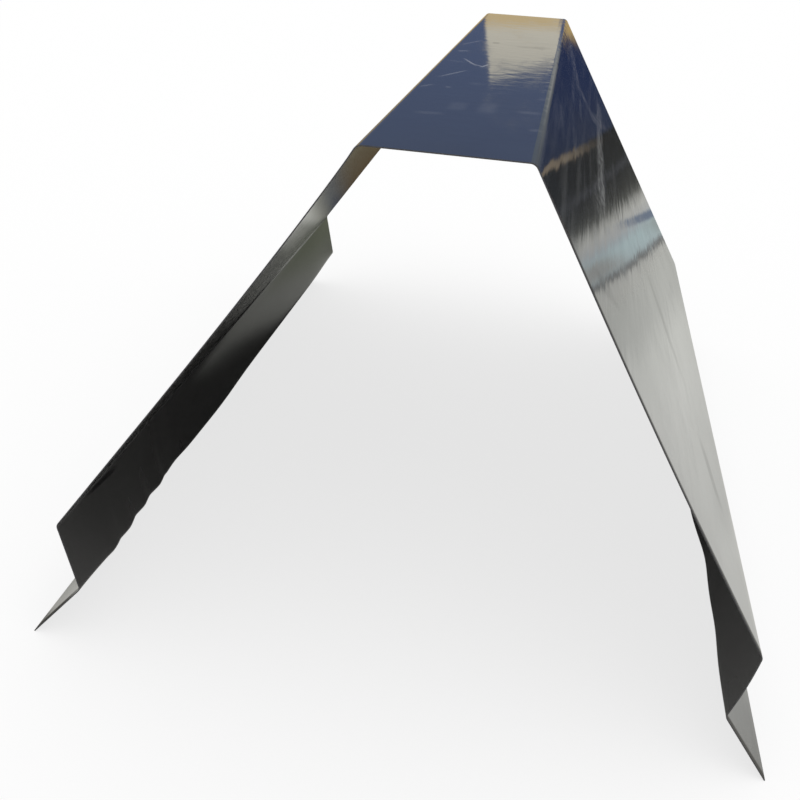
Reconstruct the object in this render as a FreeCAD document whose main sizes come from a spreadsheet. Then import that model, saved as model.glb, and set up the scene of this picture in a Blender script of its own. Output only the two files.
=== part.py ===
import FreeCAD, Part
import math
import os
import Sketcher

# Roof ridge cap: one strip of coated sheet steel, folded along its length.
# A narrow flat crest carries two long steep wings. At the foot of each wing
# the sheet folds down into a short return leg that leans inward, and then
# folds out again into a flange that lies along the roof slope.
#
# Frame: X across the cap, Y along its length, Z up, in millimetres.
# The origin is on the floor under the middle of the crest, half way along,
# and the cap stands on the free edges of its two flanges.
#
# Widths are measured on the outer skin from fold corner to fold corner, as
# a folding list gives them. Slopes are degrees below level going outward,
# so a slope past 90 leans back inward.

DRIVING_DIMENSIONS = [
    ("crest_width", 60),
    ("wing_width", 215),
    ("wing_slope", 57),
    ("return_width", 33),
    ("return_slope", 102),
    ("flange_width", 37),
    ("flange_slope", 51),
    ("sheet_thickness", 0.5),
    ("inner_bend_radius", 3),
    ("cap_length", 500),
]

# The sketcher numbers an edge's points up from 1, and its two axes down from -1.
START, END, CENTRE = range(1, 4)
HORIZONTAL_AXIS, VERTICAL_AXIS = range(-1, -3, -1)


def make_sheet(doc):
    """Put the driving dimensions in a spreadsheet, one named cell each."""
    sheet = doc.addObject("Spreadsheet::Sheet", "Dimensions")
    for row, (alias, value) in enumerate(DRIVING_DIMENSIONS, start=1):
        sheet.set(f"A{row}", alias)
        sheet.set(f"B{row}", str(value))
        sheet.setAlias(f"B{row}", alias)
    doc.recompute()
    return sheet


def origin_plane(body, role):
    """Return the body's own origin plane that has this role."""
    for feature in body.Origin.OriginFeatures:
        if feature.Role == role:
            return feature
    raise RuntimeError(f"{body.Name} has no plane {role}")


def heading(slope):
    """Return the unit direction that runs outward at this slope."""
    angle = math.radians(slope)
    return FreeCAD.Vector(math.cos(angle), -math.sin(angle), 0)


def inward(slope):
    """Return the unit direction from a leg's outer skin through the sheet."""
    along = heading(slope)
    return FreeCAD.Vector(along.y, -along.x, 0)


def fold_corners(legs, thickness):
    """Return the outer skin's corners, from the middle of the crest down.

    The lowest point of the section, the flange's inner corner, is at zero.
    """
    corners = [FreeCAD.Vector(0, 0, 0)]
    for width, slope in legs:
        corners.append(corners[-1] + heading(slope) * width)
    last_slope = legs[-1][1]
    lowest = corners[-1] + inward(last_slope) * thickness
    rise = FreeCAD.Vector(0, -lowest.y, 0)
    return [corner + rise for corner in corners]


def is_clockwise(leg_in, leg_out):
    """Tell whether the section steepens from one leg to the next."""
    return leg_out[1] > leg_in[1]


def skin_edges(legs, corners, depth, radii):
    """Return one skin of the section: lines with a bend arc between each two.

    The skin lies depth inside the outer one, and radii holds its bends.
    """
    edges = []
    start = corners[0] + inward(legs[0][1]) * depth
    for corner, radius, leg_in, leg_out in zip(corners[1:], radii, legs, legs[1:]):
        slope_in = leg_in[1]
        slope_out = leg_out[1]
        turn = math.radians(slope_out - slope_in)
        side = 1 if is_clockwise(leg_in, leg_out) else -1
        # The straight parts of this skin would cross at the mitre point.
        mitre = corner + (inward(slope_in) + inward(slope_out)) * (depth / (1 + math.cos(turn)))
        setback = radius * math.tan(abs(turn) / 2)
        arc_start = mitre - heading(slope_in) * setback
        arc_end = mitre + heading(slope_out) * setback
        centre = arc_start + inward(slope_in) * (side * radius)
        towards_mitre = (mitre - centre).normalize()
        edges.append(Part.LineSegment(start, arc_start))
        edges.append(Part.Arc(arc_start, centre + towards_mitre * radius, arc_end))
        start = arc_end
    edges.append(Part.LineSegment(start, corners[-1] + inward(legs[-1][1]) * depth))
    return edges


def add_edges(sketch, edges, construction):
    """Add the edges to the sketch and return their numbers."""
    return [sketch.addGeometry(edge, construction) for edge in edges]


def constrain(sketch, *description):
    """Add one geometric constraint."""
    sketch.addConstraint(Sketcher.Constraint(*description))


def bind_size(sketch, name, formula, *description):
    """Add one dimension, name it and bind it to the spreadsheet."""
    index = sketch.addConstraint(Sketcher.Constraint(*description))
    sketch.renameConstraint(index, name)
    sketch.setExpression(f"Constraints.{name}", formula)


def draw_fold_lines(sketch, legs, corners):
    """Draw the sharp fold lines that carry the widths and slopes."""
    lines = [Part.LineSegment(begin, finish) for begin, finish in zip(corners, corners[1:])]
    crest, wing, foot, flange = add_edges(sketch, lines, True)
    constrain(sketch, "PointOnObject", crest, START, VERTICAL_AXIS)
    constrain(sketch, "Horizontal", crest)
    constrain(sketch, "Coincident", crest, END, wing, START)
    constrain(sketch, "Coincident", wing, END, foot, START)
    constrain(sketch, "Coincident", foot, END, flange, START)
    half_crest = legs[0][0]
    bind_size(sketch, "half_crest", "Dimensions.crest_width / 2", "Distance", crest, half_crest)
    names = ("wing", "return", "flange")
    for name, line, (width, slope) in zip(names, (wing, foot, flange), legs[1:]):
        width_cell = f"Dimensions.{name}_width"
        slope_cell = f"-Dimensions.{name}_slope"
        bind_size(sketch, f"{name}_width", width_cell, "Distance", line, width)
        bind_size(sketch, f"{name}_slope", slope_cell, "Angle", line, -math.radians(slope))
    return [crest, wing, foot, flange]


def draw_skin(sketch, legs, edges):
    """Draw one skin, with each arc tangent to the lines at its ends."""
    skin = add_edges(sketch, edges, False)
    for arc, leg_in, leg_out in zip(skin[1::2], legs, legs[1:]):
        # A sketched arc always runs counter-clockwise from start to end.
        entry, leave = (END, START) if is_clockwise(leg_in, leg_out) else (START, END)
        constrain(sketch, "Tangent", arc - 1, END, arc, entry)
        constrain(sketch, "Tangent", arc, leave, arc + 1, START)
    return skin


def draw_half_section(sketch, sheet):
    """Draw the right half of the folded section, fully constrained."""
    legs = [
        (sheet.crest_width / 2, 0),
        (sheet.wing_width, sheet.wing_slope),
        (sheet.return_width, sheet.return_slope),
        (sheet.flange_width, sheet.flange_slope),
    ]
    thickness = sheet.sheet_thickness
    tight = sheet.inner_bend_radius
    wide = tight + thickness
    corners = fold_corners(legs, thickness)

    # The outer skin is outside the crest and wing bends, inside the foot one.
    outer = draw_skin(sketch, legs, skin_edges(legs, corners, 0, [wide, wide, tight]))
    inner = draw_skin(sketch, legs, skin_edges(legs, corners, thickness, [tight, tight, wide]))
    middle = sketch.addGeometry(
        Part.LineSegment(sketch.getPoint(outer[0], START), sketch.getPoint(inner[0], START)),
        False,
    )
    cut_edge = sketch.addGeometry(
        Part.LineSegment(sketch.getPoint(outer[-1], END), sketch.getPoint(inner[-1], END)),
        False,
    )
    fold_lines = draw_fold_lines(sketch, legs, corners)

    constrain(sketch, "Coincident", outer[0], START, middle, START)
    constrain(sketch, "Coincident", inner[0], START, middle, END)
    constrain(sketch, "PointOnObject", middle, START, VERTICAL_AXIS)
    constrain(sketch, "Vertical", middle)
    constrain(sketch, "Coincident", outer[-1], END, cut_edge, START)
    constrain(sketch, "Coincident", inner[-1], END, cut_edge, END)
    constrain(sketch, "Perpendicular", outer[-1], cut_edge)
    constrain(sketch, "PointOnObject", cut_edge, END, HORIZONTAL_AXIS)

    for outer_line, inner_line, fold_line in zip(outer[0::2], inner[0::2], fold_lines):
        constrain(sketch, "Parallel", outer_line, fold_line)
        constrain(sketch, "Parallel", inner_line, fold_line)
    for outer_line, fold_line in zip(outer[0:-1:2], fold_lines):
        constrain(sketch, "PointOnObject", outer_line, END, fold_line)
    constrain(sketch, "Coincident", outer[-1], END, fold_lines[-1], END)
    for outer_arc, inner_arc in zip(outer[1::2], inner[1::2]):
        constrain(sketch, "Coincident", outer_arc, CENTRE, inner_arc, CENTRE)

    bind_size(sketch, "thickness", "Dimensions.sheet_thickness", "Distance", cut_edge, thickness)
    tight_arcs = {"crest_bend": inner[1], "wing_bend": inner[3], "foot_bend": outer[5]}
    for name, arc in tight_arcs.items():
        bind_size(sketch, name, "Dimensions.inner_bend_radius", "Radius", arc, tight)


def make_ridge_cap(doc, sheet):
    """Fold the section along the length and mirror it into the whole cap."""
    body = doc.addObject("PartDesign::Body", "RidgeCap")
    body.Label = "ridge_cap"
    section = body.newObject("Sketcher::SketchObject", "HalfSection")
    section.AttachmentSupport = [(origin_plane(body, "XZ_Plane"), "")]
    section.MapMode = "FlatFace"
    doc.recompute()
    draw_half_section(section, sheet)

    right_half = body.newObject("PartDesign::Pad", "RightHalf")
    right_half.Profile = section
    right_half.SideType = "Symmetric"
    right_half.setExpression("Length", "Dimensions.cap_length")

    whole = body.newObject("PartDesign::Mirrored", "WholeCap")
    whole.Originals = [right_half]
    whole.MirrorPlane = (origin_plane(body, "YZ_Plane"), [""])
    body.Tip = whole
    doc.recompute()
    return body


def check_document(doc):
    """Stop if any object of the document failed to compute."""
    for item in doc.Objects:
        if "Invalid" in item.State or "Error" in item.State:
            raise RuntimeError(f"{item.Label} failed: {item.State}")


def check_cap(body):
    """Stop unless the cap is one valid solid."""
    shape = body.Shape
    if shape.isNull() or not shape.isValid():
        raise RuntimeError(f"{body.Label} has no valid shape")
    if len(shape.Solids) != 1:
        raise RuntimeError(f"{body.Label} has {len(shape.Solids)} solids, not one")


document = FreeCAD.newDocument("RoofRidgeCap")
dimensions = make_sheet(document)
ridge_cap = make_ridge_cap(document, dimensions)
check_document(document)
check_cap(ridge_cap)

os.makedirs("parts", exist_ok=True)
ridge_cap.Shape.exportStep(os.path.join("parts", f"{ridge_cap.Label}.step"))

bounds = ridge_cap.Shape.BoundBox
print(f"{ridge_cap.Label}: {bounds.XLength:.3f} x {bounds.YLength:.3f} x {bounds.ZLength:.3f} mm")
print(f"volume {ridge_cap.Shape.Volume:.1f} cubic mm, floor at {bounds.ZMin:.4f}")
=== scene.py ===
import math

import bpy
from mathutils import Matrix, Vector, noise


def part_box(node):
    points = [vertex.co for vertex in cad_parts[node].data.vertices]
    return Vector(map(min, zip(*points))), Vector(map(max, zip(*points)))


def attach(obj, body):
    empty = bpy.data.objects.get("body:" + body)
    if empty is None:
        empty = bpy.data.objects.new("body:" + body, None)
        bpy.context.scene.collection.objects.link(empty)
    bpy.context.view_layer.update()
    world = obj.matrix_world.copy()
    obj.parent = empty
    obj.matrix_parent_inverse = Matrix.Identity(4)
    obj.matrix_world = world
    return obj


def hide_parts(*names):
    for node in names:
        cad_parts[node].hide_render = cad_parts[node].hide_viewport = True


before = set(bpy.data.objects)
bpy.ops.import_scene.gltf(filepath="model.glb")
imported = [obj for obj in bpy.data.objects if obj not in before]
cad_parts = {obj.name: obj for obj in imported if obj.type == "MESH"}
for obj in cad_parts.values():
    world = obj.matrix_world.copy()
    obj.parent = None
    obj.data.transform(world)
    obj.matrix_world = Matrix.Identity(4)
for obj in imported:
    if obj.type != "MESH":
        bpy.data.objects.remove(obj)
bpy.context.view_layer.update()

# Roof ridge cap: one strip of dark coated sheet steel, folded along its
# length, standing on the free edges of its two flanges.
#
# Frame: X across the cap, Y along its length, Z up, in metres, with the
# origin on the floor under the middle of the crest, half way along.

node_low, node_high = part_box("ridge_cap")
NEAR_END, FAR_END = node_low[1], node_high[1]
HALF_SPAN = node_high[0]

# Leg widths run on the outer skin from fold corner to fold corner. The
# folds are not quite parallel, so half the crest and the wing have a width
# at each end.
NEAR_WIDTHS = {"left": (0.0297, 0.2148), "right": (0.03065, 0.2146)}
FAR_WIDTHS = {"left": (0.0315, 0.2133), "right": (0.0292, 0.2155)}
RETURN_WIDTH = 0.033
FLANGE_WIDTH = 0.037
SHEET_THICKNESS = 0.0005
TIGHT_RADIUS = 0.003
WIDE_RADIUS = TIGHT_RADIUS + SHEET_THICKNESS

# The outer skin is outside the crest and wing bends, inside the foot one.
OUTER_RADII = [WIDE_RADIUS, WIDE_RADIUS, TIGHT_RADIUS]

# The strip is slightly twisted. These are the slopes of wing, return and
# flange at each end, in degrees below level going outward.
NEAR_SLOPES = {"left": (56.4, 105.6, 51.0), "right": (56.9, 101.7, 52.2)}
FAR_SLOPES = {"left": (56.8, 105.5, 50.6), "right": (56.1, 102.2, 54.4)}

# The near and the far end of the strip lie this far off the middle, in X.
NEAR_SHIFT, FAR_SHIFT = -0.0004, -0.0005

# The ends are cut a little out of square, by this much in Y for each metre
# in X.
END_SKEW = 0.0134

# Near the near end the wings are pressed in and the right return bulges out.
# The skew moves the deepest place up the wing, and the fades are powers of
# the way from the far end.
NEAR_BOW = {"left": 0.0015, "right": 0.0012}
BOW_SKEW = {"left": 0.7, "right": 1.0}
RETURN_BULGE = {"left": 0.0, "right": 0.0006}
BOW_FADE, BULGE_FADE = 2, 8

# Dents in the foot folds: place along Y, outward push and half length.
FOOT_DENTS = {
    "left": [
        (-0.207, -0.0018, 0.024),
        (-0.213, -0.0004, 0.0040),
        (-0.203, 0.0006, 0.0035),
        (-0.193, -0.0004, 0.0035),
        (-0.183, 0.0006, 0.0035),
        (-0.173, -0.0005, 0.0035),
        (-0.163, 0.0006, 0.0040),
        (-0.152, -0.0005, 0.0040),
        (-0.143, 0.0004, 0.0030),
        (-0.128, 0.0011, 0.014),
        (-0.055, -0.0010, 0.040),
        (0.245, 0.0012, 0.045),
    ],
    "right": [
        (-0.190, 0.0014, 0.022),
        (-0.155, 0.0012, 0.024),
        (-0.132, 0.0017, 0.020),
        (-0.085, -0.0012, 0.020),
    ],
}

# How far each leg strays from flat, and over what length.
LEG_WAVES = [(0.00001, 0.090), (0.00006, 0.080), (0.00008, 0.050), (0.00010, 0.060)]

# The mesh is fine enough to carry the dents and waves of the sheet: this
# many steps across each leg and bend, and this length to a row.
LEG_STEPS = [8, 54, 8, 9]
BEND_STEPS = 7
ROW_LENGTH = 0.0025
SHARP_ANGLE = 40


def heading(slope):
    """Return the unit direction that runs outward at this slope."""
    angle = math.radians(slope)
    return Vector((math.cos(angle), 0, -math.sin(angle)))


def outward(slope):
    """Return the unit normal of the outer skin at this slope."""
    angle = math.radians(slope)
    return Vector((math.sin(angle), 0, math.cos(angle)))


def blend(start, end, share):
    """Return the value this share of the way from start to end."""
    return start + (end - start) * share


def blend_all(starts, ends, share):
    """Return each start blended with its end."""
    return [blend(start, end, share) for start, end in zip(starts, ends)]


def drop(legs):
    """Return how far the legs of one side fall below the crest's corner."""
    return sum(width * math.sin(math.radians(slope)) for width, slope in legs)


def row_legs(share):
    """Return the crest's height and each side's legs at one row.

    Both flanges stand on the floor, so their drops set the crest's tilt.
    """
    halves = {}
    legs = {}
    slopes = {}
    for side in ("left", "right"):
        half, wing = blend_all(NEAR_WIDTHS[side], FAR_WIDTHS[side], share)
        slopes[side] = blend_all(NEAR_SLOPES[side], FAR_SLOPES[side], share)
        halves[side] = half
        legs[side] = list(zip((wing, RETURN_WIDTH, FLANGE_WIDTH), slopes[side]))
    crest = halves["left"] + halves["right"]
    rise = drop(legs["right"]) - drop(legs["left"])
    flattest = min(slopes["left"][2], slopes["right"][2])
    lift = SHEET_THICKNESS * math.cos(math.radians(flattest))
    height = drop(legs["left"]) + rise * halves["left"] / crest + lift
    tilt = math.degrees(math.asin(rise / crest))
    legs["left"].insert(0, (halves["left"], tilt))
    legs["right"].insert(0, (halves["right"], -tilt))
    return height, legs


def walk(legs, height):
    """Return stations (leg, share, girth, point, normal) of one side.

    Leg counts outward from the crest, and a bend counts with the leg before
    it, at a share of 1. Girth is the way along the outer skin from the
    middle of the crest.
    """
    stations = []
    girth = 0.0
    point = Vector((0, 0, height))
    trim = 0.0
    for leg, (width, slope) in enumerate(legs):
        is_last = leg == len(legs) - 1
        turn = 0 if is_last else legs[leg + 1][1] - slope
        radius = 0 if is_last else OUTER_RADII[leg]
        next_trim = radius * math.tan(math.radians(abs(turn)) / 2)
        length = width - trim - next_trim
        steps = LEG_STEPS[leg]
        for step in range(steps):
            share = step / steps
            place = point + heading(slope) * (length * share)
            stations.append((leg, share, girth + length * share, place, outward(slope)))
        girth += length
        point = point + heading(slope) * length
        if is_last:
            stations.append((leg, 1.0, girth, point, outward(slope)))
            break
        side = math.copysign(1, turn)
        centre = point - outward(slope) * (side * radius)
        for step in range(BEND_STEPS):
            swing = turn * step / BEND_STEPS
            normal = outward(slope + swing)
            arc = radius * math.radians(abs(swing))
            stations.append((leg, 1.0, girth + arc, centre + normal * (side * radius), normal))
        girth += radius * math.radians(abs(turn))
        point = centre + outward(slope + turn) * (side * radius)
        trim = next_trim
    return stations


def bump_shape(distance, half_length):
    """Return a smooth hump, 1 at its middle and almost 0 two lengths away."""
    return math.exp(-((distance / half_length) ** 2))


def foot_push(side, leg, share, y):
    """Return how far the dents of the foot fold push the sheet outward."""
    if leg < 2:
        return 0.0
    reach = share if leg == 2 else 1 - share
    push = sum(depth * bump_shape(y - place, size) for place, depth, size in FOOT_DENTS[side])
    return push * reach


def sheet_bow(side, leg, share, near_share):
    """Return the slow bow of the wings and returns near the near end."""
    if leg == 1:
        pressed = math.sin(math.pi * share ** BOW_SKEW[side])
        return -NEAR_BOW[side] * pressed * near_share ** BOW_FADE
    if leg == 2:
        return RETURN_BULGE[side] * math.sin(math.pi * share) * near_share ** BULGE_FADE
    return 0.0


def sheet_wave(leg, share, girth, y):
    """Return how far the sheet strays from flat here."""
    depth, length = LEG_WAVES[leg]
    held = math.sin(math.pi * share)
    return depth * held * noise.noise(Vector((girth / length, y / length, leg * 7.0)))


def make_row(share):
    """Return the outer skin's vertices, inward directions and flat places."""
    height, legs = row_legs(share)
    row = {}
    for side, sign in (("left", -1), ("right", 1)):
        places = []
        for leg, leg_share, girth, point, normal in walk(legs[side], height):
            near_y = NEAR_END + END_SKEW * max(0.0, HALF_SPAN - sign * point.x)
            far_y = FAR_END - END_SKEW * max(0.0, HALF_SPAN + sign * point.x)
            y = blend(near_y, far_y, share)
            lift = sheet_bow(side, leg, leg_share, 1 - share)
            lift += sheet_wave(leg, leg_share, sign * girth, y)
            push = Vector((foot_push(side, leg, leg_share, y), 0, 0))
            moved = point + normal * lift + push
            shift = blend(NEAR_SHIFT, FAR_SHIFT, share)
            place = Vector((sign * moved.x + shift, y, moved.z))
            inward = Vector((-sign * normal.x, 0, -normal.z))
            places.append((place, inward, (sign * girth, y)))
        row[side] = places
    return row["left"][:0:-1] + row["right"]


def grid_faces(index, rows, columns):
    """Return the faces and material numbers of both skins and the rims."""
    faces = []
    materials = []
    for row in range(rows - 1):
        for column in range(columns - 1):
            corners = [(row, column), (row, column + 1), (row + 1, column + 1), (row + 1, column)]
            faces.append([index(0, *corner) for corner in corners])
            faces.append([index(1, *corner) for corner in reversed(corners)])
            materials += [0, 1]
    rim = [(row, 0) for row in range(rows - 1, 0, -1)]
    rim += [(0, column) for column in range(columns - 1)]
    rim += [(row, columns - 1) for row in range(rows - 1)]
    rim += [(rows - 1, column) for column in range(columns - 1, 0, -1)]
    for here, there in zip(rim, rim[1:] + rim[:1]):
        faces.append([index(0, *there), index(0, *here), index(1, *here), index(1, *there)])
        materials.append(2)
    return faces, materials


def make_sheet():
    """Build both skins and the cut edges of the folded sheet as one mesh."""
    rows = round((FAR_END - NEAR_END) / ROW_LENGTH) + 1
    grid = [make_row(row / (rows - 1)) for row in range(rows)]
    columns = len(grid[0])
    vertices = []
    flat_places = []
    for depth in (0, SHEET_THICKNESS):
        for row in grid:
            for place, inward, flat_place in row:
                vertices.append(place + inward * depth)
                flat_places.append(flat_place)

    def index(skin, row, column):
        return (skin * rows + row) * columns + column

    faces, materials = grid_faces(index, rows, columns)
    mesh = bpy.data.meshes.new("ridge_cap_sheet")
    mesh.from_pydata(vertices, [], faces)
    mesh.polygons.foreach_set("material_index", materials)
    mesh.polygons.foreach_set("use_smooth", [True] * len(faces))
    mesh.set_sharp_from_angle(angle=math.radians(SHARP_ANGLE))
    flat_map = mesh.uv_layers.new(name="sheet_flat")
    for loop in mesh.loops:
        flat_map.data[loop.index].uv = flat_places[loop.vertex_index]
    mesh.update()
    sheet = bpy.data.objects.new("ridge_cap_sheet", mesh)
    bpy.context.scene.collection.objects.link(sheet)
    return sheet


# Marks in the coats. Each runs on the flat sheet from one place (girth,
# length) to another, and has a half width and a strength.
PALE_DUST_AND_SHEEN = (0.40, 0.41, 0.42)
BACK_NEAR_END_LIGHT = (0.20, 0.197, 0.192)
CREST_MARKS = [
    ((-0.0290, 0.038), (-0.0165, 0.076), 0.0010, 0.42),
    ((-0.0270, 0.011), (-0.0200, 0.017), 0.0022, 0.48),
    ((-0.0280, -0.028), (-0.0155, -0.031), 0.0022, 0.14),
    ((-0.0205, -0.014), (-0.0095, -0.043), 0.0010, 0.75),
    ((-0.0160, -0.031), (-0.0045, -0.044), 0.0012, 0.60),
    ((-0.0085, -0.046), (-0.0045, -0.030), 0.0010, 0.80),
    ((-0.0250, -0.090), (-0.0120, -0.055), 0.0011, 0.42),
    ((-0.0285, -0.121), (-0.0225, -0.109), 0.0014, 0.25),
    ((-0.0175, -0.114), (-0.0140, -0.114), 0.0030, 0.18),
    ((-0.0110, -0.159), (-0.0010, -0.159), 0.0130, 0.07),
    ((-0.0220, -0.181), (-0.0080, -0.178), 0.0040, 0.09),
    ((0.0010, -0.157), (0.0115, -0.157), 0.0180, 0.08),
    ((0.0170, -0.160), (0.0300, -0.159), 0.0045, 0.10),
    ((0.0250, -0.128), (0.0300, -0.122), 0.0030, 0.12),
    ((0.0250, -0.197), (0.0300, -0.192), 0.0030, 0.12),
    ((-0.0090, -0.098), (0.0000, -0.098), 0.0050, 0.06),
]
WING_RUBS = [
    ((0.0320, 0.220), (0.0600, 0.030), 0.0070, 0.42),
    ((0.0440, 0.066), (0.0900, 0.086), 0.0130, 0.40),
    ((0.0690, 0.050), (0.1030, 0.165), 0.0070, 0.42),
    ((0.0885, 0.230), (0.0880, -0.050), 0.0065, 0.60),
    ((0.0877, 0.080), (0.0890, -0.140), 0.0068, 0.90),
    ((0.0870, -0.040), (0.0850, -0.150), 0.0100, 0.30),
    ((0.0485, 0.050), (0.0515, -0.020), 0.0030, 0.30),
    ((0.0590, 0.050), (0.0610, -0.020), 0.0030, 0.28),
    ((0.0540, -0.050), (0.0590, -0.130), 0.0035, 0.22),
    ((0.0400, -0.070), (0.0440, -0.140), 0.0035, 0.22),
]
# A near-black line on the under side, along the left wing's fold into its return near the near end.
BACK_DARK_LINES = [
    ((-0.2450, -0.2225), (-0.2480, -0.1840), 0.0015, 0.97),
]
# One dull dark film serves both for grime and for painted shade.
GRIME_AND_SHADE = (0.050, 0.047, 0.040)
GRIME_AND_SHADOW_MARKS = [
    ((-0.0120, 0.063), (-0.0060, 0.063), 0.0060, 0.20),
    ((0.0000, 0.053), (0.0280, 0.057), 0.0070, 0.12),
    ((0.0780, -0.228), (0.1060, -0.192), 0.0080, 0.14),
    ((0.1440, -0.004), (0.2000, -0.096), 0.0080, 0.15),
    ((0.2060, -0.120), (0.2260, -0.178), 0.0070, 0.18),
    # The last two marks are painted shadow where the left foot meets the floor: a line along its
    # near edge and a patch over the flange's tip.
    ((-0.2700, -0.2450), (-0.3300, -0.2450), 0.0072, 0.95),
    ((-0.3050, -0.2440), (-0.3300, -0.2370), 0.0120, 0.75),
]

# Grime also lies in faint clouds. On the right, painted shade darkens the wing's near
# edge: it eases in over these two stretches of length and of girth.
GRIME_CLOUDS, CLOUD_STRENGTH = (22, 14, 0), 0.05
EDGE_SHADE_LENGTHS = (-0.2450, -0.2480)
EDGE_SHADE_GIRTHS = (0.034, 0.060)
EDGE_SHADE_STRENGTH = 0.75

# The pale marks are dust and wear, shown mostly at a low glance as a painted sheen:
# they fade as the facing weight falls between these, down to a share.
SHEEN_FACING = (0.45, 0.80)
SHEEN_HEAD_ON = 0.10

# Each pattern below has a scale: its features to a metre across and along
# the flat sheet. The coats vary between two colours in such a pattern.
COAT_TONES, COAT_COLOURS = (25, 25, 0), ((0.034, 0.041, 0.055), (0.046, 0.055, 0.070))
BACK_TONES, BACK_COLOURS = (30, 12, 0), ((0.021, 0.0208, 0.0203), (0.031, 0.030, 0.0292))
EDGE_GRAIN, EDGE_COLOURS = (900, 900, 0), ((0.022, 0.026, 0.040), (0.10, 0.095, 0.09))
BLACK = (0.0, 0.0, 0.0)
NEAR_BLACK = (0.003, 0.003, 0.003)
WING_GIRTHS = (0.027, 0.033)
WING_SHADE = 0.30
SMEARS, COAT_ROUGHNESS = (60, 14, 0), (0.055, 0.13)
BACK_ROUGHNESS = 0.13
EDGE_ROUGHNESS, EDGE_METALLIC = 0.5, 0.3

# The under side's painted light, paler from the near end to past the middle.
BACK_LIGHT_LENGTHS, BACK_LIGHT_AMOUNTS = (-0.255, -0.060), (0.20, 0.03)

# Faint dust on the wings: streaks in patches, wiped lines and brushed grain.
STREAKS, STREAK_STRENGTH = (420, 11, 0), 0.16
STREAK_PATCHES = (18, 9, 0)
WIPED_LINES, WIPED_STRENGTH = (16, 150, 0), 0.14
WIPED_LENGTHS = (-0.16, 0.0)
BRUSHED_GRAIN, BRUSHED_STRENGTH = (170, 6, 0), 0.14
RUB_BEADS = (330, 130, 0)

# Fine relief of the coats, with its depth in metres.
CREST_RIPPLE, CREST_RIPPLE_DEPTH = (85, 105, 0), 0.00007
WING_FIBRE, WING_FIBRE_DEPTHS = (250, 13, 0), (0.00003, 0.00010)
FIBRE_LENGTHS = (-0.24, 0.05)
FIBRE_PATCHES = (30, 12, 0)
WING_SWELL, WING_SWELL_DEPTH = (30, 30, 0), 0.00004
FOLD_WAVER, FOLD_WAVER_DEPTH = (0, 75, 0), 0.0002
FOLD_GIRTH, FOLD_HALF = 0.030, 0.005
FOLD_WAVER_LENGTHS = (-0.22, -0.15)
BACK_RIPPLE, BACK_RIPPLE_DEPTH = (90, 60, 0), 0.00001


class NodeTree:
    """A node tree with a short word for each kind of node it needs."""

    # The middle of a soft mark, as a share of its half width.
    MARK_CORE = 0.3

    def __init__(self, owner):
        owner.use_nodes = True
        self.tree = owner.node_tree
        self.tree.nodes.clear()

    def add(self, kind, **inputs):
        """Add a node. An input is a value, or the socket it is linked to."""
        node = self.tree.nodes.new(kind)
        for name, value in inputs.items():
            self.plug(node.inputs[name.replace("_", " ")], value)
        return node

    def plug(self, target, value):
        """Link the value to the target if it is a socket, or else set it."""
        if isinstance(value, bpy.types.NodeSocket):
            self.tree.links.new(value, target)
        elif isinstance(value, tuple) and len(value) == 3 and target.type == "RGBA":
            target.default_value = (*value, 1)
        else:
            target.default_value = value

    def math(self, operation, first, second=0.0, third=0.0):
        """Return the result of a sum, product or other operation."""
        node = self.tree.nodes.new("ShaderNodeMath")
        node.operation = operation
        for target, value in zip(node.inputs, (first, second, third)):
            self.plug(target, value)
        return node.outputs[0]

    def step(self, value, low, high, from_value=0.0, to_value=1.0):
        """Ease from one value to the other as the input goes low to high."""
        node = self.tree.nodes.new("ShaderNodeMapRange")
        node.interpolation_type = "SMOOTHSTEP"
        for target, number in zip(node.inputs, (value, low, high, from_value, to_value)):
            self.plug(target, number)
        return node.outputs[0]

    def near(self, value, centre, half_width):
        """Return 1 close to the centre, easing to 0 half a width away."""
        distance = self.math("ABSOLUTE", self.math("SUBTRACT", value, centre))
        return self.step(distance, self.MARK_CORE * half_width, half_width, 1.0, 0.0)

    def all(self, first, *others):
        """Return the product of masks, 1 only where each of them is 1."""
        for other in others:
            first = self.math("MULTIPLY", first, other)
        return first

    def split(self, vector):
        """Return the vector's three components."""
        node = self.add("ShaderNodeSeparateXYZ", Vector=vector)
        return list(node.outputs)

    def mix(self, factor, first, second):
        """Return the first colour at 0, the second at 1, or one between."""
        node = self.tree.nodes.new("ShaderNodeMix")
        node.data_type = "RGBA"
        colours = [socket for socket in node.inputs if socket.type == "RGBA"]
        self.plug(node.inputs[0], factor)
        self.plug(colours[0], first)
        self.plug(colours[1], second)
        return next(socket for socket in node.outputs if socket.type == "RGBA")

    def ramp(self, value, low, high, stops):
        """Colour the value by stops (level, colour) between low and high."""
        node = self.tree.nodes.new("ShaderNodeValToRGB")
        share = self.tree.nodes.new("ShaderNodeMapRange")
        for target, number in zip(share.inputs, (value, low, high)):
            self.plug(target, number)
        self.plug(node.inputs[0], share.outputs[0])
        elements = node.color_ramp.elements
        elements.remove(elements[1])
        for number, (level, colour) in enumerate(stops):
            position = (level - low) / (high - low)
            element = elements[0] if number == 0 else elements.new(position)
            element.position = position
            element.color = (*colour, 1)
        return node.outputs[0]

    def scaled(self, vector, scale):
        """Return the vector with each component times its scale."""
        node = self.tree.nodes.new("ShaderNodeVectorMath")
        node.operation = "MULTIPLY"
        self.plug(node.inputs[0], vector)
        node.inputs[1].default_value = scale
        return node.outputs[0]

    def noise(self, place, scale, detail=2.0, roughness=0.5):
        """Return smooth noise between 0 and 1, with scale features to a unit."""
        vector = self.scaled(place, scale)
        node = self.add("ShaderNodeTexNoise", Vector=vector, Scale=1.0, Detail=detail)
        node.inputs["Roughness"].default_value = roughness
        return node.outputs[0]


def new_material(name):
    """Return a new material and its empty node tree."""
    material = bpy.data.materials.new(name)
    return material, NodeTree(material)


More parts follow.
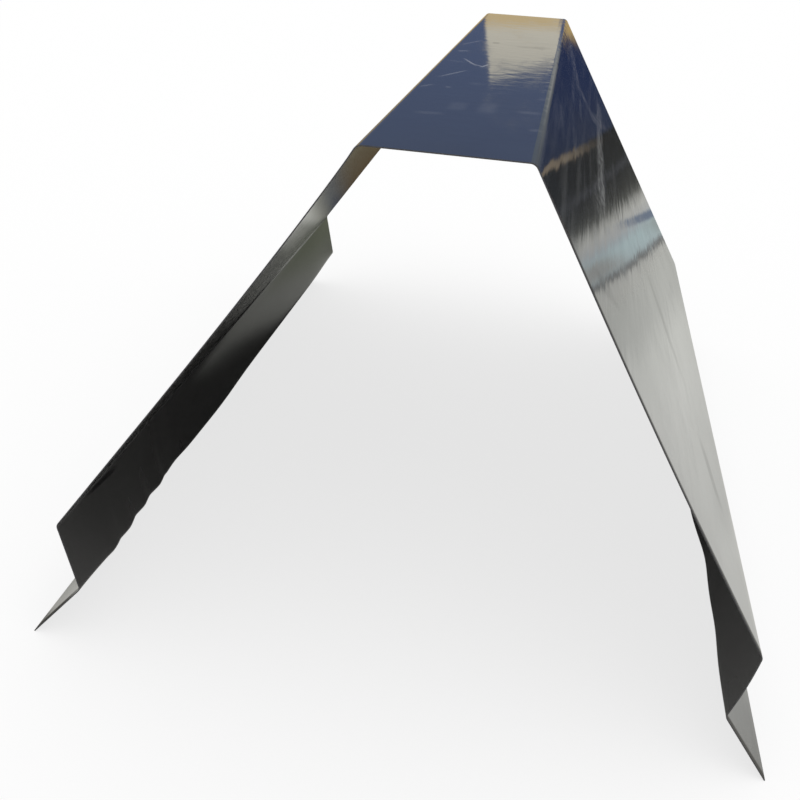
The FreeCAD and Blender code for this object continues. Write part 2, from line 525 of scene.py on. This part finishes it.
def sheet_place(nodes):
    """Return the place on the flat sheet, in metres of girth and length."""
    node = nodes.tree.nodes.new("ShaderNodeUVMap")
    node.uv_map = "sheet_flat"
    return node.outputs[0]


def finish_shader(nodes, shader):
    """Link the shader to the surface."""
    output = nodes.tree.nodes.new("ShaderNodeOutputMaterial")
    nodes.plug(output.inputs["Surface"], shader.outputs[0])


def stroke(nodes, girth, length, start, end, half_width):
    """Return 1 along a soft line from start to end on the flat sheet."""
    run = Vector(end) - Vector(start)
    size = run.length
    run.normalize()
    middle = (Vector(start) + Vector(end)) / 2
    turned = Vector((-run.y, run.x))
    along = nodes.math("MULTIPLY_ADD", length, run.y, -middle.dot(run))
    along = nodes.math("MULTIPLY_ADD", girth, run.x, along)
    across = nodes.math("MULTIPLY_ADD", length, turned.y, -middle.dot(turned))
    across = nodes.math("MULTIPLY_ADD", girth, turned.x, across)
    on_line = nodes.near(across, 0.0, half_width)
    return nodes.all(on_line, nodes.near(along, 0.0, size / 2))


def strongest(nodes, girth, length, marks):
    """Return the strongest of the marks at this place."""
    total = 0.0
    for start, end, half_width, strength in marks:
        line = stroke(nodes, girth, length, start, end, half_width)
        total = nodes.math("MAXIMUM", nodes.math("MULTIPLY", line, strength), total)
    return total


def dust_and_sheen_shown(nodes):
    """Return how much the dust shows: a little head on, all at a low glance, as a painted sheen."""
    weight = nodes.add("ShaderNodeLayerWeight", Blend=0.5)
    return nodes.step(weight.outputs["Facing"], *SHEEN_FACING, SHEEN_HEAD_ON, 1.0)


def grime_and_shade_over(nodes, place, shader):
    """Lay a dull film: grime in clouds and marks, painted shadow at the left foot, painted shade at
    the near edge.
    """
    girth, length, _ = nodes.split(place)
    cloud = nodes.noise(place, GRIME_CLOUDS, 4.0, 0.55)
    amount = nodes.step(cloud, 0.45, 0.75, 0.0, CLOUD_STRENGTH)
    amount = nodes.math("MAXIMUM", amount, strongest(nodes, girth, length, GRIME_AND_SHADOW_MARKS))
    # Painted shade along the right wing's near edge.
    edge = nodes.all(nodes.step(length, *EDGE_SHADE_LENGTHS), nodes.step(girth, *EDGE_SHADE_GIRTHS))
    edge = nodes.math("MULTIPLY", edge, EDGE_SHADE_STRENGTH)
    amount = nodes.math("MAXIMUM", amount, edge)
    film = nodes.add("ShaderNodeBsdfDiffuse", Color=GRIME_AND_SHADE)
    both = nodes.tree.nodes.new("ShaderNodeMixShader")
    nodes.plug(both.inputs[0], amount)
    nodes.plug(both.inputs[1], shader.outputs[0])
    nodes.plug(both.inputs[2], film.outputs[0])
    return both


def coat_relief(nodes, place, on_wing, length):
    """Return the coat's fine relief, in metres.

    The crest has small even ripples, and its right fold wavers a little. The
    wings have fibres along the sheet, shallow near the near end.
    """
    girth = nodes.split(place)[0]
    waver = nodes.math("MULTIPLY", nodes.noise(place, FOLD_WAVER, 3.0), FOLD_WAVER_DEPTH)
    on_fold = nodes.near(girth, FOLD_GIRTH, FOLD_HALF)
    waver = nodes.all(waver, on_fold, nodes.step(length, *FOLD_WAVER_LENGTHS))
    fibre = nodes.noise(place, WING_FIBRE)
    swell = nodes.noise(place, WING_SWELL)
    uneven = nodes.step(nodes.noise(place, FIBRE_PATCHES), 0.35, 0.70, 0.3, 1.9)
    depth = nodes.step(length, *FIBRE_LENGTHS, *WING_FIBRE_DEPTHS)
    depth = nodes.math("MULTIPLY", depth, uneven)
    crest = nodes.math("MULTIPLY", nodes.noise(place, CREST_RIPPLE, 3.0), CREST_RIPPLE_DEPTH)
    wing = nodes.math("MULTIPLY", fibre, depth)
    wing = nodes.math("MULTIPLY_ADD", swell, WING_SWELL_DEPTH, wing)
    wing = nodes.math("SUBTRACT", wing, crest)
    whole = nodes.math("MULTIPLY_ADD", wing, on_wing, crest)
    return nodes.math("ADD", whole, waver)


def coat_dust(nodes, place, on_wing):
    """Return how much pale dust lies in rubs, scratches and faint patterns."""
    girth, length, _ = nodes.split(place)
    fibre = nodes.noise(place, STREAKS, 3.0)
    in_patches = nodes.step(nodes.noise(place, STREAK_PATCHES, 3.0), 0.40, 0.65)
    streaks = nodes.all(nodes.step(fibre, 0.48, 0.72), in_patches, on_wing)
    wiped = nodes.step(nodes.noise(place, WIPED_LINES, 3.0), 0.52, 0.72)
    wiped = nodes.all(wiped, nodes.step(length, *WIPED_LENGTHS), on_wing)
    brushed = nodes.step(nodes.noise(place, BRUSHED_GRAIN, 3.0), 0.46, 0.70)
    brushed = nodes.all(brushed, on_wing)
    in_fibres = nodes.step(fibre, 0.38, 0.62, 0.5, 1.0)
    in_beads = nodes.step(nodes.noise(place, RUB_BEADS), 0.42, 0.58, 0.45, 1.40)
    rub = nodes.all(strongest(nodes, girth, length, WING_RUBS), in_fibres, in_beads)
    dust = nodes.math("MAXIMUM", rub, strongest(nodes, girth, length, CREST_MARKS))
    faint = ((streaks, STREAK_STRENGTH), (wiped, WIPED_STRENGTH), (brushed, BRUSHED_STRENGTH))
    for pattern, strength in faint:
        dust = nodes.math("MAXIMUM", dust, nodes.math("MULTIPLY", pattern, strength))
    return dust


def make_coat():
    """The outer coat: dark and glossy, with ripples, streaks, rubs and dust, the dust with a
    painted sheen.
    """
    material, nodes = new_material("outer_coat")
    place = sheet_place(nodes)
    girth, length, _ = nodes.split(place)
    on_wing = nodes.step(nodes.math("ABSOLUTE", girth), *WING_GIRTHS)
    height = coat_relief(nodes, place, on_wing, length)
    relief = nodes.add("ShaderNodeBump", Strength=1.0, Distance=1.0, Height=height)

    colour = nodes.mix(nodes.noise(place, COAT_TONES, 4.0), *COAT_COLOURS)
    colour = nodes.mix(nodes.math("MULTIPLY", on_wing, WING_SHADE), colour, BLACK)
    # Painted sheen: the pale dust and wear show mostly at a low glance.
    dust = nodes.all(coat_dust(nodes, place, on_wing), dust_and_sheen_shown(nodes))
    colour = nodes.mix(dust, colour, PALE_DUST_AND_SHEEN)

    smear = nodes.noise(place, SMEARS, 4.0, 0.6)
    roughness = nodes.step(smear, 0.45, 0.75, *COAT_ROUGHNESS)
    shader = nodes.add("ShaderNodeBsdfPrincipled", Base_Color=colour, Roughness=roughness)
    nodes.plug(shader.inputs["Normal"], relief.outputs[0])
    finish_shader(nodes, grime_and_shade_over(nodes, place, shader))
    return material


def make_back():
    """The under side: a thinner, duller dark coat, paler by painted light near the near end."""
    material, nodes = new_material("back_coat")
    place = sheet_place(nodes)
    girth, length, _ = nodes.split(place)
    colour = nodes.mix(nodes.noise(place, BACK_TONES, 4.0), *BACK_COLOURS)
    # Painted light: the under side is paler towards the open near end, where light comes in.
    dust = nodes.step(length, *BACK_LIGHT_LENGTHS, *BACK_LIGHT_AMOUNTS)
    colour = nodes.mix(dust, colour, BACK_NEAR_END_LIGHT)
    # The near-black line by the left wing's fold.
    dark_line = strongest(nodes, girth, length, BACK_DARK_LINES)
    colour = nodes.mix(dark_line, colour, NEAR_BLACK)
    ripple = nodes.noise(place, BACK_RIPPLE, 3.0)
    relief = nodes.add("ShaderNodeBump", Strength=1.0, Distance=BACK_RIPPLE_DEPTH, Height=ripple)
    shader = nodes.add("ShaderNodeBsdfPrincipled", Base_Color=colour, Roughness=BACK_ROUGHNESS)
    nodes.plug(shader.inputs["Normal"], relief.outputs[0])
    finish_shader(nodes, shader)
    return material


def make_edge():
    """The cut edge: bare steel between two coats, dulled."""
    material, nodes = new_material("cut_edge")
    place = sheet_place(nodes)
    colour = nodes.mix(nodes.noise(place, EDGE_GRAIN), *EDGE_COLOURS)
    shader = nodes.add("ShaderNodeBsdfPrincipled", Base_Color=colour, Roughness=EDGE_ROUGHNESS)
    shader.inputs["Metallic"].default_value = EDGE_METALLIC
    finish_shader(nodes, shader)
    return material


def make_cap():
    """Build the sheet, coat it and tie it to the part."""
    sheet = make_sheet()
    for make_material in (make_coat, make_back, make_edge):
        sheet.data.materials.append(make_material())
    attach(sheet, "root")
    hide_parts("ridge_cap")


# The stage, in metres. The board stands behind the cap, and only the
# reflections in the coat show it.
FLOOR_HALF = 12
CAMERA_GLOW = 0.76
CAMERA_ALBEDO = (0.24, 0.24, 0.24)
FLOOR_ALBEDO = (0.80, 0.80, 0.79)
BOARD_PLACE = 0.600
BOARD_HALF = 0.36
BOARD_TOP = 0.6

# The floor's colour in the coat's reflections, by its place along Y: beside
# the cap, under it with a painted shadow, and beyond it on the left.
FLOOR_RANGE = (-0.3, 0.6)
MIRRORED_FLOOR = [
    (-0.240, (0.75, 0.735, 0.67)),
    (-0.160, (0.98, 0.975, 0.92)),
    (0.200, (0.97, 0.97, 0.915)),
    (0.350, (0.87, 0.875, 0.82)),
    (0.450, (0.69, 0.695, 0.65)),
    (0.600, (0.62, 0.625, 0.58)),
]
UNDER_CAP_PAINTED_SHADOW = [
    (-0.250, (0.80, 0.80, 0.78)),
    (-0.106, (0.82, 0.82, 0.80)),
    (-0.020, (0.74, 0.74, 0.73)),
    (0.064, (0.66, 0.66, 0.65)),
    (0.142, (0.28, 0.28, 0.27)),
    (0.178, (0.36, 0.36, 0.35)),
    (0.230, (0.96, 0.97, 0.90)),
    (0.317, (0.68, 0.69, 0.64)),
    (0.400, (0.46, 0.48, 0.40)),
    (0.490, (0.35, 0.38, 0.28)),
]
LEFT_FLOOR_RANGE = (0.3, 0.6)
LEFT_FLOOR = [
    (0.380, (0.36, 0.36, 0.32)),
    (0.425, (0.15, 0.15, 0.13)),
    (0.468, (0.045, 0.057, 0.090)),
    (0.508, (0.110, 0.098, 0.080)),
    (0.550, (0.110, 0.078, 0.042)),
]

# Where each of them holds. A painted contact shadow also darkens the floor a
# little by the right foot.
UNDER_CAP_HALF, UNDER_CAP_EASE = 0.155, 0.2
LEFT_FLOOR_ACROSS, LEFT_FLOOR_AWAY = (-0.125, -0.060), (0.36, 0.40)
FOOT_SHADE = 0.14
FOOT_ACROSS, FOOT_AWAY = (0.205, 0.235), (-0.04, 0.01)

# On the board a band rises this much for each metre to the right, and each
# stop gives a band's level where it crosses the middle.
BAND_RISE = 0.24
BAND_RANGE = (-0.100, 0.300)
BANDS = [
    (-0.060, (0.62, 0.62, 0.575)),
    (-0.049, (0.58, 0.58, 0.54)),
    (-0.044, (0.19, 0.19, 0.18)),
    (-0.040, (0.26, 0.27, 0.27)),
    (-0.035, (0.50, 0.60, 0.61)),
    (-0.018, (0.51, 0.63, 0.64)),
    (-0.010, (0.46, 0.52, 0.54)),
    (-0.003, (0.52, 0.53, 0.52)),
    (0.008, (0.56, 0.56, 0.52)),
    (0.016, (0.38, 0.38, 0.35)),
    (0.023, (0.12, 0.12, 0.105)),
    (0.032, (0.060, 0.059, 0.050)),
    (0.050, (0.032, 0.031, 0.026)),
    (0.056, (0.060, 0.060, 0.062)),
    (0.064, (0.026, 0.025, 0.020)),
    (0.092, (0.020, 0.019, 0.015)),
]

# One pale band is greyer on the right and duller on the left. A pair of
# places across is a soft edge, here and below.
PALE_LEVEL, PALE_HALF = -0.026, 0.015
PALE_NEAR, PALE_NEAR_FROM = (0.40, 0.405, 0.385), (0.245, 0.272)
PALE_FAR, PALE_FAR_TO = (0.38, 0.43, 0.42), (0.198, 0.222)

# Above the tan line, which rises more steeply, the board is navy.
TAN_RISE = 0.45
TAN_LEVEL = 0.064
TAN_HALF, TAN_EASE = 0.0075, 0.008
TAN, TAN_FROM = (0.27, 0.215, 0.15), (0.145, 0.200)
NAVY_BANDS = [
    (0.090, (0.030, 0.038, 0.065)),
    (0.150, (0.018, 0.029, 0.080)),
    (0.205, (0.012, 0.023, 0.080)),
    (0.260, (0.020, 0.033, 0.090)),
]

# A thin blue line runs up through the pale bands, and the top is blue.
LINE_RISE = 0.63
LINE_LEVEL, LINE_HALF = -0.0866, 0.009
LINE, LINE_TO = (0.20, 0.24, 0.31), (0.205, 0.232)
BLUE = (0.090, 0.125, 0.240)
BLUE_HEIGHTS, BLUE_LEVELS = (0.262, 0.300), (0.236, 0.250)

# The patch's left edge leans to the right going up, and its top slants. It
# is ochre below its foot height and pale above.
PALE = (0.77, 0.73, 0.61)
OCHRE = (0.74, 0.57, 0.30)
PATCH_LEFT, PATCH_RIGHT, PATCH_TOP, PATCH_FOOT = -0.055, 0.0175, 0.338, 0.284
PATCH_LEAN, PATCH_SLANT = 0.17, 0.25
PATCH_LEFT_EASE, PATCH_RIGHT_EASE = 0.002, 0.003
PATCH_TOP_EASE, PATCH_FOOT_EASE = (-0.004, 0.006), (-0.006, 0.002)

# The crest's right fold mirrors this part of the board, coloured by height.
# Its lower rim is level up to the corner, then falls steeply and then less
# so, each with a slope and a level. It dims to the far colour on the right.
FOLD_RANGE = (0.200, 0.500)
FOLD_BANDS = [
    (0.200, (0.060, 0.075, 0.120)),
    (0.225, (0.085, 0.095, 0.130)),
    (0.250, (0.150, 0.160, 0.180)),
    (0.282, (0.240, 0.250, 0.255)),
    (0.300, (0.400, 0.405, 0.390)),
    (0.318, (0.400, 0.410, 0.395)),
    (0.336, (0.270, 0.290, 0.300)),
    (0.360, (0.200, 0.225, 0.260)),
    (0.420, (0.150, 0.180, 0.220)),
]
FOLD_FAR, FOLD_FAR_SHARE, FOLD_FAR_FROM = (0.10, 0.115, 0.14), 0.75, (0.105, 0.175)
FOLD_CORNER = 0.063
FOLD_STEEP, FOLD_SHALLOW = (-1.2, 0.297), (-0.6, 0.306)
FOLD_RIM, FOLD_FROM = (-0.012, 0.008), (0.022, 0.029)

# Left of the bands the board is brown at its foot, ochre and then blue.
SIDE_TO = (0.064, 0.080)
SIDE_RANGE = (0.0, 0.300)
SIDE_BANDS = [
    (0.000, (0.110, 0.080, 0.045)),
    (0.120, (0.100, 0.075, 0.042)),
    (0.185, (0.20, 0.15, 0.07)),
    (0.210, (0.55, 0.39, 0.16)),
    (0.262, (0.56, 0.41, 0.17)),
    (0.274, (0.090, 0.125, 0.240)),
    (0.290, (0.090, 0.125, 0.240)),
]


def make_plane(name, corners):
    """Return a plane of the stage with these four corners."""
    mesh = bpy.data.meshes.new(name)
    mesh.from_pydata(corners, [], [(0, 1, 2, 3)])
    plane = bpy.data.objects.new(name, mesh)
    bpy.context.scene.collection.objects.link(plane)
    return plane


def floor_mirrored(nodes):
    """Return the floor's colour in the coat's reflections."""
    across, away, _ = nodes.split(nodes.tree.nodes.new("ShaderNodeTexCoord").outputs["Object"])
    colour = nodes.ramp(away, *FLOOR_RANGE, MIRRORED_FLOOR)
    foot = nodes.step(across, *FOOT_ACROSS, FOOT_SHADE, 0.0)
    foot = nodes.all(foot, nodes.step(away, *FOOT_AWAY))
    colour = nodes.mix(foot, colour, BLACK)
    # Painted shadow: the mirrored floor is darker under the cap.
    under = nodes.step(nodes.near(across, 0.0, UNDER_CAP_HALF), 0.0, UNDER_CAP_EASE)
    colour = nodes.mix(under, colour, nodes.ramp(away, *FLOOR_RANGE, UNDER_CAP_PAINTED_SHADOW))
    left_colour = nodes.ramp(away, *LEFT_FLOOR_RANGE, LEFT_FLOOR)
    left = nodes.step(across, *LEFT_FLOOR_ACROSS, 1.0, 0.0)
    left = nodes.all(left, nodes.step(away, *LEFT_FLOOR_AWAY))
    return nodes.mix(left, colour, left_colour)


def make_floor():
    """A pale floor, lifted to white for the camera under a soft shadow."""
    half = FLOOR_HALF
    corners = [(-half, -half, 0), (half, -half, 0), (half, half, 0), (-half, half, 0)]
    floor = make_plane("floor", corners)
    material, nodes = new_material("floor")
    path = nodes.tree.nodes.new("ShaderNodeLightPath")
    is_camera = path.outputs["Is Camera Ray"]
    glow = nodes.math("MULTIPLY", is_camera, CAMERA_GLOW)
    albedo = nodes.mix(path.outputs["Is Glossy Ray"], FLOOR_ALBEDO, floor_mirrored(nodes))
    albedo = nodes.mix(is_camera, albedo, CAMERA_ALBEDO)
    diffuse = nodes.add("ShaderNodeBsdfDiffuse", Color=albedo)
    light = nodes.add("ShaderNodeEmission", Color=WHITE, Strength=glow)
    total = nodes.tree.nodes.new("ShaderNodeAddShader")
    nodes.plug(total.inputs[0], diffuse.outputs[0])
    nodes.plug(total.inputs[1], light.outputs[0])
    finish_shader(nodes, total)
    floor.data.materials.append(material)


def board_bands(nodes, across, up):
    """Return the board's slanted bands: pale, dark, tan and navy."""
    level = nodes.math("MULTIPLY_ADD", across, -BAND_RISE, up)
    colour = nodes.ramp(level, *BAND_RANGE, BANDS)
    pale = nodes.near(level, PALE_LEVEL, PALE_HALF)
    near_part = nodes.all(pale, nodes.step(across, *PALE_NEAR_FROM))
    far_part = nodes.all(pale, nodes.step(across, *PALE_FAR_TO, 1.0, 0.0))
    colour = nodes.mix(near_part, colour, PALE_NEAR)
    colour = nodes.mix(far_part, colour, PALE_FAR)
    line_level = nodes.math("MULTIPLY_ADD", across, -LINE_RISE, up)
    line = nodes.near(line_level, LINE_LEVEL, LINE_HALF)
    line = nodes.all(line, nodes.step(across, *LINE_TO, 1.0, 0.0))
    colour = nodes.mix(line, colour, LINE)
    tan_level = nodes.math("MULTIPLY_ADD", across, -TAN_RISE, up)
    navy = nodes.ramp(level, *BAND_RANGE, NAVY_BANDS)
    colour = nodes.mix(nodes.step(tan_level, TAN_LEVEL, TAN_LEVEL + TAN_EASE), colour, navy)
    tan = nodes.near(tan_level, TAN_LEVEL, TAN_HALF)
    colour = nodes.mix(nodes.all(tan, nodes.step(across, *TAN_FROM)), colour, TAN)
    high = nodes.all(nodes.step(up, *BLUE_HEIGHTS), nodes.step(level, *BLUE_LEVELS))
    return nodes.mix(high, colour, BLUE)


def board_fold(nodes, across, up, colour):
    """Return the colour with the part that the crest's right fold mirrors."""
    past = nodes.math("MAXIMUM", nodes.math("SUBTRACT", across, FOLD_CORNER), 0.0)
    steep = nodes.math("MULTIPLY_ADD", past, *FOLD_STEEP)
    shallow = nodes.math("MULTIPLY_ADD", across, *FOLD_SHALLOW)
    rim = nodes.math("SUBTRACT", up, nodes.math("MAXIMUM", steep, shallow))
    inside = nodes.all(nodes.step(rim, *FOLD_RIM), nodes.step(across, *FOLD_FROM))
    fold_colour = nodes.ramp(up, *FOLD_RANGE, FOLD_BANDS)
    far_share = nodes.step(across, *FOLD_FAR_FROM, 0.0, FOLD_FAR_SHARE)
    fold_colour = nodes.mix(far_share, fold_colour, FOLD_FAR)
    return nodes.mix(inside, colour, fold_colour)


def board_patch(nodes, across, up, colour):
    """Return the colour with the pale patch that the crest mirrors."""
    leaned = nodes.math("MULTIPLY_ADD", up, -PATCH_LEAN, PATCH_LEAN * PATCH_TOP - PATCH_LEFT)
    leaned = nodes.math("ADD", across, leaned)
    inside_left = nodes.step(leaned, -PATCH_LEFT_EASE, PATCH_LEFT_EASE)
    right_edge = (PATCH_RIGHT - PATCH_RIGHT_EASE, PATCH_RIGHT + PATCH_RIGHT_EASE)
    inside_right = nodes.step(across, *right_edge, 1.0, 0.0)
    slanted = nodes.math("SUBTRACT", across, PATCH_LEFT)
    slanted = nodes.math("MULTIPLY_ADD", slanted, PATCH_SLANT, up)
    top_edge = [PATCH_TOP + ease for ease in PATCH_TOP_EASE]
    below_top = nodes.step(slanted, *top_edge, 1.0, 0.0)
    foot = nodes.step(up, *[PATCH_FOOT + ease for ease in PATCH_FOOT_EASE])
    patch_colour = nodes.mix(foot, OCHRE, PALE)
    return nodes.mix(nodes.all(inside_left, inside_right, below_top), colour, patch_colour)


def make_board():
    """A board of soft bands and one pale patch for the coat to mirror."""
    half, top = BOARD_HALF, BOARD_TOP
    corners = [(-half, 0, 0), (half, 0, 0), (half, 0, top), (-half, 0, top)]
    board = make_plane("reflection_board", corners)
    board.location = (0, BOARD_PLACE, 0)
    material, nodes = new_material("reflection_board")
    across, _, up = nodes.split(nodes.tree.nodes.new("ShaderNodeTexCoord").outputs["Object"])
    side_colour = nodes.ramp(up, *SIDE_RANGE, SIDE_BANDS)
    side = nodes.step(across, *SIDE_TO, 1.0, 0.0)
    colour = nodes.mix(side, board_bands(nodes, across, up), side_colour)
    colour = board_fold(nodes, across, up, colour)
    colour = board_patch(nodes, across, up, colour)
    glow = nodes.add("ShaderNodeEmission", Color=colour, Strength=1.0)
    finish_shader(nodes, glow)
    board.data.materials.append(material)
    board.visible_camera = False
    board.visible_diffuse = False
    board.visible_transmission = False
    board.visible_shadow = False


# The light comes from all round and from one wide lamp.
WORLD_LIGHT = (0.62, 0.62, 0.62)
WHITE = (1.0, 1.0, 1.0)
LAMP_PLACE = (0.3, -0.2, 2.0)
LAMP_SPREAD = 80
LAMP_STRENGTH = 1.2


def make_world():
    """Soft even light, and white behind the floor for the camera."""
    world = bpy.data.worlds.new("studio")
    bpy.context.scene.world = world
    nodes = NodeTree(world)
    path = nodes.tree.nodes.new("ShaderNodeLightPath")
    light = nodes.add("ShaderNodeBackground", Color=WORLD_LIGHT)
    seen = nodes.add("ShaderNodeBackground", Color=WHITE)
    choice = nodes.tree.nodes.new("ShaderNodeMixShader")
    nodes.plug(choice.inputs[0], path.outputs["Is Camera Ray"])
    nodes.plug(choice.inputs[1], light.outputs[0])
    nodes.plug(choice.inputs[2], seen.outputs[0])
    output = nodes.tree.nodes.new("ShaderNodeOutputWorld")
    nodes.plug(output.inputs["Surface"], choice.outputs[0])


def make_lamp():
    """One very wide, soft light from above, the same all over the floor."""
    data = bpy.data.lights.new("overhead", "SUN")
    data.angle = math.radians(LAMP_SPREAD)
    data.energy = LAMP_STRENGTH
    lamp = bpy.data.objects.new("overhead", data)
    lamp.location = LAMP_PLACE
    lamp.rotation_euler = (-Vector(LAMP_PLACE)).to_track_quat("-Z", "Y").to_euler()
    bpy.context.scene.collection.objects.link(lamp)


# The camera looks along the cap from just above its near end. The focal
# length, in pixels of an 800-pixel frame, gives the lens in millimetres.
FOCAL_PIXELS = 1009.4
FRAME_PIXELS = 800
SENSOR_WIDTH = 36
CAMERA_PLACE = (0.0351, -0.5816, 0.3165)
CAMERA_PITCH, CAMERA_ROLL, CAMERA_YAW = -26.756, -5.34, 9.78


def make_camera():
    """Set up the camera that takes the photo's view."""
    data = bpy.data.cameras.new("camera")
    data.sensor_width = SENSOR_WIDTH
    data.lens = SENSOR_WIDTH * FOCAL_PIXELS / FRAME_PIXELS
    camera = bpy.data.objects.new("camera", data)
    camera.location = CAMERA_PLACE
    # An unturned camera looks straight down.
    level_view = 90
    angles = (level_view + CAMERA_PITCH, CAMERA_ROLL, CAMERA_YAW)
    camera.rotation_euler = [math.radians(angle) for angle in angles]
    bpy.context.scene.collection.objects.link(camera)
    bpy.context.scene.camera = camera


make_cap()
make_floor()
make_board()
make_world()
make_lamp()
make_camera()
bpy.context.scene.view_settings.view_transform = "Standard"
